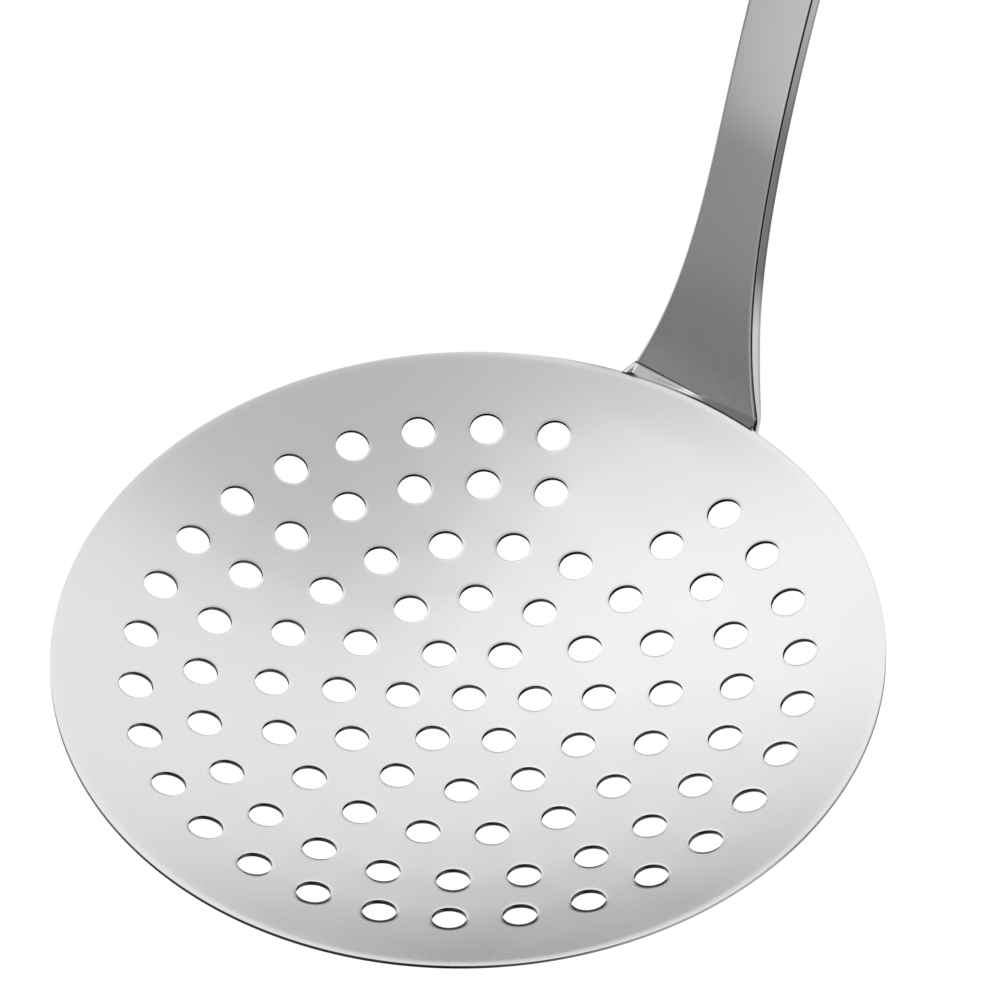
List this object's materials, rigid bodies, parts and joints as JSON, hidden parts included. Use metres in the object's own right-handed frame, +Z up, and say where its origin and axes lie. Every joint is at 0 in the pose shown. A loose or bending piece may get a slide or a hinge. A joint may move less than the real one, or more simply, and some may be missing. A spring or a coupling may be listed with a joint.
{
  "type": "perforated skimmer",
  "caption": "Stainless kitchen skimmer: a shallow round perforated dish welded to the flared foot of a long bent handle with a hollow grip and an oval hanging hole.",
  "frame": {"origin": "on the surface that the skimmer lies on, under the middle of its outline", "axes": "+Z up off the surface; +Y along the handle from the dish to the tip of the grip; +X to the right, across the handle; the plane X = 0 is the plane of symmetry"},
  "size_m": [0.12, 0.353, 0.1041],
  "materials": {
    "dish_steel": "fine satin, slightly brighter at the cut rim and the edges of the holes",
    "handle_steel": "satin front and back, polished sides and edges",
    "weld_steel": "ground and polished",
    "eyelet_steel": "polished"
  },
  "bodies": {
    "root": {"bowl": "dish_steel", "handle_neck": "handle_steel", "foot_weld": "weld_steel", "grip_front_shell": "handle_steel", "grip_back_shell": "handle_steel", "hanging_eyelet": "eyelet_steel"}
  },
  "joints": []
}
